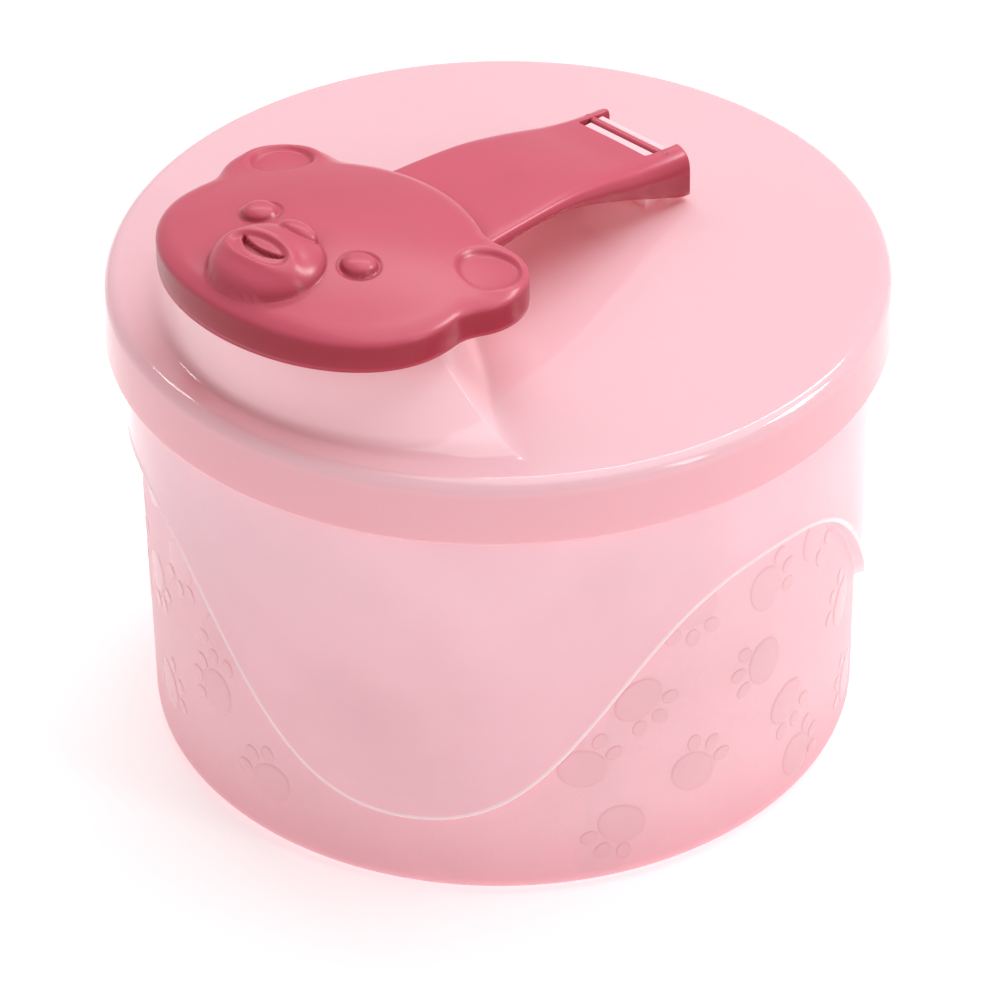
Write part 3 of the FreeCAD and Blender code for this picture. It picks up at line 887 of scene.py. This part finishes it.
def make_lid():
    shape = build_lid()
    add_hinge_clip(shape)
    material = moulded("lid_plastic", colour(254, 206, 216), roughness=0.08, scatter=0.25,
                       mottle=0.012, mottle_scale=35)
    # Painted shade: the skirt, below the lid's top, is darker
    paint_shade_low(material, (0.92, 0.76, 0.78), low=0.0705, high=0.0725)
    # Painted glow: a faint one up to the lid's top, and a stronger one on the funnel's flare above it
    paint_glow(material, (0.10, 0.03, 0.025), (0.26, 0.16, 0.16), low=0.0731, high=0.0746)
    finish_piece(shape.object("lid_visual", [material]), "lid")


# ---------------------------------------------------------------- cap

def head_distance(x, y):
    """Signed distance to the bear's outline, negative inside: two half ovals joined softly to two ears."""
    width = HEAD_HALF_WIDTH
    length = np.where(y > HEAD_WIDEST_Y, FOREHEAD_LENGTH, CHIN_LENGTH)
    across, along = x / width, (y - HEAD_WIDEST_Y) / length
    near = np.hypot(across, along)
    far = np.hypot(across / width, along / length)
    oval = near * (near - 1) / np.maximum(far, 1e-9)
    ear = np.hypot(np.abs(x) - EAR_CENTRE[0], y - EAR_CENTRE[1]) - EAR_RADIUS
    return soft_min(oval, ear, EAR_FILLET)


def head_reach(angles):
    """Reach from the head's centre to its outline in each direction, by halving."""
    low, high = np.full(angles.shape, 5.0), np.full(angles.shape, 45.0)
    for _ in range(40):
        middle = (low + high) / 2
        inside = head_distance(middle * np.cos(angles), FACE_Y + middle * np.sin(angles)) < 0
        low, high = np.where(inside, middle, low), np.where(inside, high, middle)
    return low


def head_angles():
    """Directions that put the columns at even steps along the outline, the ears included."""
    fine = np.linspace(0, 2 * math.pi, 6001)
    reach = head_reach(fine)
    x, y = reach * np.cos(fine), reach * np.sin(fine)
    travelled = np.concatenate([[0], np.cumsum(np.hypot(np.diff(x), np.diff(y)))])
    return np.interp(np.arange(HEAD_COLUMNS) / HEAD_COLUMNS * travelled[-1], travelled, fine)


def crown_height(x, y):
    """Large ball that gives the head its crowned face, levelling out over the ears."""
    radius = (HEAD_HALF_WIDTH ** 2 + HEAD_CROWN ** 2) / (2 * HEAD_CROWN)
    ball = HEAD_EDGE_TOP + HEAD_CROWN - radius + np.sqrt(radius ** 2 - x ** 2 - (y - FACE_Y) ** 2)
    return soft_max(ball, np.full(ball.shape, HEAD_EDGE_TOP + 0.5), 0.8)


def dome(x, y, centre, radii, top, power):
    """Height of a dome over an oval, or a very low value outside it."""
    share = np.hypot((x - centre[0]) / radii[0], (y - centre[1]) / radii[1])
    rise = np.maximum(1 - np.minimum(share, 1) ** power, 0) ** (1 / power)
    return np.where(share < 1, top - radii[2] + radii[2] * rise, -100.0)


def face_height(x, y):
    """Height of the bear's face: crown, inner ears, eyes, muzzle, nose and mouth."""
    side = np.abs(x)
    height = crown_height(x, y) + ear_relief(side, y)
    eye = np.hypot(side - EYE_CENTRE[0], y - EYE_CENTRE[1])
    height = height - 0.22 * np.exp(-((eye - 2.75) / 0.3) ** 2)
    height = soft_max(height, dome(side, y, EYE_CENTRE, EYE_RADII, FACE_TOP + 0.5, power=2.5), 0.12)
    height = soft_max(height, dome(x, y, MUZZLE_CENTRE, MUZZLE_RADII, FACE_TOP + 2.4, power=2.8), 0.2)
    height = soft_max(height, dome(x, y, NOSE_CENTRE, NOSE_RADII, FACE_TOP + 2.6, power=2.4), 0.25)
    return height + mouth_relief(x, y)


def ear_relief(side, y):
    """Round hollow in each ear, with a low lip on the side away from the face."""
    off_x, off_y = side - EAR_HOLLOW_CENTRE[0], y - EAR_HOLLOW_CENTRE[1]
    ear = np.hypot(off_x, off_y)
    outward = smooth_step(-4, 2, off_x * 0.7 + off_y * 0.7)
    hollow = EAR_HOLLOW_DEPTH * smooth_step(EAR_HOLLOW_RADIUS + 0.4, EAR_HOLLOW_RADIUS - 0.6, ear)
    return 0.2 * outward * np.exp(-((ear - EAR_HOLLOW_RADIUS - 1.0) / 0.6) ** 2) - hollow


def mouth_relief(x, y):
    """Raised oval lip with a smiling groove inside it."""
    oval = np.hypot(x / LIP_RADII[0], (y - LIP_Y) / LIP_RADII[1])
    lip = 0.38 * np.exp(-((oval - 1.0) / 0.22) ** 2)
    hollow = -0.35 * smooth_step(0.95, 0.7, oval)
    bow = y - SMILE_Y - 1.15 * (x / 3.7) ** 2
    width = 0.75 * np.sqrt(np.maximum(1 - (x / SMILE_HALF_WIDTH) ** 2, 0)) + 0.02
    groove = -0.8 * smooth_step(1.0, 0.55, np.abs(bow) / width) * (np.abs(x) < SMILE_HALF_WIDTH)
    return lip + hollow + groove


def rim_fall(depth, across, down):
    """How far the surface falls towards the outline, a quarter oval `across` wide and `down` deep."""
    share = np.clip((across - depth) / across, 0, 1)
    return down * (1 - np.sqrt(1 - share ** 2))


def add_head(shape):
    """The head as rings: out over the face, down the edge, under it and back in along the hollow."""
    angles = head_angles()
    reach = head_reach(angles)
    rings = []

    def ring(distance, height):
        x, y = distance * np.cos(angles), FACE_Y + distance * np.sin(angles)
        rings.append(np.stack([x, y, height(x, y)], axis=-1))

    def top(x, y):
        return face_height(x, y) - rim_fall(-head_distance(x, y), HEAD_EDGE_ACROSS, HEAD_EDGE_DOWN)

    # Rings crowd towards the outline, where the face rounds into the edge
    insets = HEAD_EDGE_BAND * np.linspace(0, 1, 13) ** 2
    for share in np.linspace(0.008, 1, HEAD_ROWS):
        ring((reach - HEAD_EDGE_BAND) * share, top)
    for inset in insets[-2::-1]:
        ring(reach - inset, top)
    edge = rings[-1][:, 2]
    for share in (0.15, 0.5, 0.85):
        ring(reach, lambda x, y: edge + (HEAD_BOTTOM + 0.3 - edge) * share)
    for inset, z in ((0.09, 0.09), (0.3, 0), (CAP_WALL - 0.3, 0), (CAP_WALL - 0.09, 0.09), (CAP_WALL, 0.3)):
        ring(reach - inset, lambda x, y: np.full(x.shape, HEAD_BOTTOM + z))
    inner = reach - CAP_WALL
    for inset, drop in ((0, 1.6), (0.05, 1.0), (0.25, 0.4), (0.7, 0.1)):
        ring(inner - inset, lambda x, y: crown_height(x, y) - CAP_WALL - drop)
    for share in (0.94, 0.85, 0.7, 0.5, 0.3, 0.1):
        ring(inner * share, lambda x, y: crown_height(x, y) - CAP_WALL)
    shape.rings(np.array(rings)[::-1], loop=False, ends=(True, True))


def add_plug(shape):
    """Ring under the head that closes the spout."""
    tip = SPOUT_TOP - PLUG_DEPTH
    outline = rounded([
        (PLUG_BORE, tip, 0.45),
        (PLUG_TIP_RADIUS, tip, 0.5),
        (PLUG_RADIUS, SPOUT_TOP, 0),
        (PLUG_RADIUS, PLUG_ROOT, 0),
        (PLUG_BORE, PLUG_ROOT, 0),
    ])
    shape.rings(lathe(outline, 144, (0, SPOUT_Y)), loop=True)


def arm_rows():
    """Places along Y of the arm's rows, closer together round the slot's front edge."""
    ahead = np.linspace(ARM_START, SLOT_FRONT - 1.6, 22)
    return np.concatenate([ahead, [SLOT_FRONT - 0.45, SLOT_FRONT, SLOT_FRONT + 1.2],
                           [25.6, 27.0, 28.2, 29.1, ARM_TAIL]])


def half_section(y, top, low, half_width, wall, shoulder):
    """Outer and inner points of one side of the arm, from the lower edge of that side to the middle."""
    depth = top - low
    section = [
        (half_width, low),
        (half_width, low + 0.35),
        (half_width, low + (depth - shoulder) * 0.6),
        (half_width, top - shoulder),
        (half_width - 0.3 * shoulder, top - 0.3 * shoulder),
        (half_width - shoulder, top),
        (SLOT_HALF_WIDTH + 0.45, top),
        (SLOT_HALF_WIDTH, top),
        (SLOT_HALF_WIDTH - 0.5, top),
        (3.2, top),
        (0, top),
    ]
    outer, inner = [], []
    for (x, z), rise in zip(section, HOLLOW_RISES):
        crown = ARM_CROWN * (1 - (x / half_width) ** 2) * (z > top - 0.01)
        outer.append((x, y, z + crown))
        hollow = (depth - ARM_SKIN) * rise if depth > ARM_SKIN + 0.3 else 0.05 * rise
        inner.append((min(x, half_width - wall), y, low + hollow))
    return outer, inner


def arm_grid():
    """Outer and inner points of the arm as grids of rows along Y and columns across, and its face mask."""
    rows = arm_rows()
    top = smooth_line(ARM_TOP, rows) + LID_TOP
    low = smooth_line(ARM_UNDERSIDE, rows) + LID_TOP
    half_width = smooth_line(ARM_HALF_WIDTH, rows)
    wall = smooth_line(ARM_WALL, rows)
    shoulder = smooth_line(ARM_SHOULDER, rows)
    halves = np.array([half_section(*values) for values in zip(rows, top, low, half_width, wall, shoulder)])
    mirrored = (halves * np.array((-1, 1, 1)))[:, :, -2::-1]
    whole = np.concatenate([halves, mirrored], axis=2)
    outer, inner = whole[:, 0], whole[:, 1]
    solid = np.ones((len(rows) - 1, outer.shape[1] - 1), bool)
    in_slot = rows[:-1] >= SLOT_FRONT - 1e-6
    solid[in_slot, SLOT_SIDE_COLUMNS:-SLOT_SIDE_COLUMNS] = False
    return outer, inner, solid


def thick_sheet(outer, inner, solid):
    """Closed mesh from two grids: both sides of every solid cell, and a rim where a neighbour is missing."""
    rows, columns = outer.shape[:2]
    points = np.vstack([outer.reshape(-1, 3), inner.reshape(-1, 3)])
    under = rows * columns
    faces = []

    def filled(i, j):
        return 0 <= i < rows - 1 and 0 <= j < columns - 1 and solid[i, j]

    for i in range(rows - 1):
        for j in range(columns - 1):
            if not solid[i, j]:
                continue
            a, b = i * columns + j, i * columns + j + 1
            c, d = b + columns, a + columns
            faces.append((a, b, c, d))
            faces.append((d + under, c + under, b + under, a + under))
            for missing, p, q in ((not filled(i - 1, j), a, b), (not filled(i, j + 1), b, c),
                                  (not filled(i + 1, j), c, d), (not filled(i, j - 1), d, a)):
                if missing:
                    faces.append((q, p, p + under, q + under))
    return points, faces


def subdivided(points, faces, levels):
    """Points and faces after Catmull-Clark subdivision, with unused points dropped."""
    mesh = bpy.data.meshes.new("cage")
    mesh.from_pydata([tuple(point) for point in points], [], faces)
    work = bmesh.new()
    work.from_mesh(mesh)
    bmesh.ops.delete(work, geom=[v for v in work.verts if not v.link_faces], context="VERTS")
    bmesh.ops.recalc_face_normals(work, faces=work.faces)
    work.to_mesh(mesh)
    work.free()
    cage = bpy.data.objects.new("cage", mesh)
    bpy.context.scene.collection.objects.link(cage)
    cage.modifiers.new("smooth", "SUBSURF").levels = levels
    evaluated = cage.evaluated_get(bpy.context.evaluated_depsgraph_get())
    result = evaluated.to_mesh()
    made = ([tuple(v.co) for v in result.vertices], [tuple(p.vertices) for p in result.polygons])
    evaluated.to_mesh_clear()
    bpy.data.objects.remove(cage)
    bpy.data.meshes.remove(mesh)
    return made


def add_bar(shape):
    """Cross-bar of the hinge, with its ends inside the prongs."""
    reach = SLOT_HALF_WIDTH + BAR_GRIP
    turn = even_angles(28)
    rings = []
    for x in np.linspace(-reach, reach, 9):
        rings.append(np.stack([np.full(turn.shape, x), HINGE_Y + BAR_RADIUS * np.cos(turn),
                               HINGE_Z + BAR_RADIUS * np.sin(turn)], axis=-1))
    shape.rings(rings, loop=False, ends=(True, True))


def make_cap():
    shape = Shape()
    add_head(shape)
    add_plug(shape)
    shape.add(*subdivided(*thick_sheet(*arm_grid()), levels=2))
    add_bar(shape)
    material = moulded("cap_plastic", colour(221, 95, 117), roughness=0.3, scatter=0.12, mottle=0.02,
                       mottle_scale=90, grain_scale=2200, grain_depth=0.000012, specular=0.35)
    # Painted shade on the cap's steep sides
    paint_shade_on_sides(material, (0.56, 0.13, 0.22))
    # Painted shade in the cap's creases
    paint_shade_in_creases(material, (0.45, 0.2, 0.26), distance=0.004)
    finish_piece(shape.object("flip_cap_visual", [material]), "flip_cap", weighted=False)


# ---------------------------------------------------------------- stage, light and camera

def make_stage():
    size = 6.0
    corners = [(-size, -size, 0), (size, -size, 0), (size, size, 0), (-size, size, 0)]
    mesh = bpy.data.meshes.new("floor")
    mesh.from_pydata(corners, [], [(0, 1, 2, 3)])
    floor = bpy.data.objects.new("floor", mesh)
    bpy.context.scene.collection.objects.link(floor)
    material, tree, shader = new_material("floor_white")
    shader.inputs["Base Color"].default_value = (0.95, 0.95, 0.95, 1)
    shader.inputs["Roughness"].default_value = 0.9
    shader.inputs["Emission Color"].default_value = (1, 1, 1, 1)
    shader.inputs["Emission Strength"].default_value = 0.4
    mesh.materials.append(material)


def add_light(name, place, target, size, power, only_reflected=False):
    data = bpy.data.lights.new(name, "AREA")
    data.shape = "RECTANGLE"
    data.size, data.size_y = size
    data.energy = power
    lamp = bpy.data.objects.new(name, data)
    lamp.visible_diffuse = not only_reflected
    bpy.context.scene.collection.objects.link(lamp)
    lamp.location = place
    lamp.rotation_euler = (Vector(target) - Vector(place)).to_track_quat("-Z", "Y").to_euler()


def make_light():
    """White surroundings whose strength depends on the ray, and four lamps aimed at the pot's middle."""
    world = bpy.data.worlds.new("studio")
    world.use_nodes = True
    tree = world.node_tree
    seen = add_node(tree, "ShaderNodeLightPath")
    strength = add_node(tree, "ShaderNodeMath", operation="MAXIMUM")
    tree.links.new(value_range(tree, seen.outputs["Is Glossy Ray"], AMBIENT, REFLECTED), strength.inputs[0])
    tree.links.new(value_range(tree, seen.outputs["Is Camera Ray"], 0, BACKDROP), strength.inputs[1])
    tree.links.new(strength.outputs[0], tree.nodes["Background"].inputs["Strength"])
    tree.nodes["Background"].inputs["Color"].default_value = (1, 1, 1, 1)
    bpy.context.scene.world = world
    middle = (0, 0, 0.05)
    add_light("overhead", (0.1, 0.25, 0.9), middle, size=(0.9, 0.9), power=4.4)
    add_light("side_window", (0.75, 0.1, 0.45), middle, size=(0.12, 0.35), power=0.9)
    add_light("rim_window", (0.42, 0.6, 0.62), middle, size=(0.25, 0.25), power=4.0, only_reflected=True)
    add_light("back_strip", (-0.55, 0.55, 0.95), middle, size=(1.2, 0.08), power=3.6)


def make_camera():
    azimuth, elevation, roll = math.radians(45), math.radians(35.58), math.radians(-0.79)
    distance = 0.7246
    target = Vector((0, 0, 0.033))
    back = Vector((math.sin(azimuth) * math.cos(elevation), -math.cos(azimuth) * math.cos(elevation),
                   math.sin(elevation)))
    data = bpy.data.cameras.new("camera")
    data.sensor_width = 36
    data.lens = 180.84
    data.shift_x = -0.0011
    data.shift_y = -0.0098
    camera = bpy.data.objects.new("camera", data)
    bpy.context.scene.collection.objects.link(camera)
    camera.location = target + back * distance
    camera.rotation_mode = "QUATERNION"
    aim = (-back).to_track_quat("-Z", "Y")
    camera.rotation_quaternion = aim @ Matrix.Rotation(roll, 3, "Z").to_quaternion()
    bpy.context.scene.camera = camera


bpy.context.scene.view_settings.view_transform = "Standard"
make_pot()
make_divider()
make_seal()
make_lid()
make_cap()
make_stage()
make_light()
make_camera()
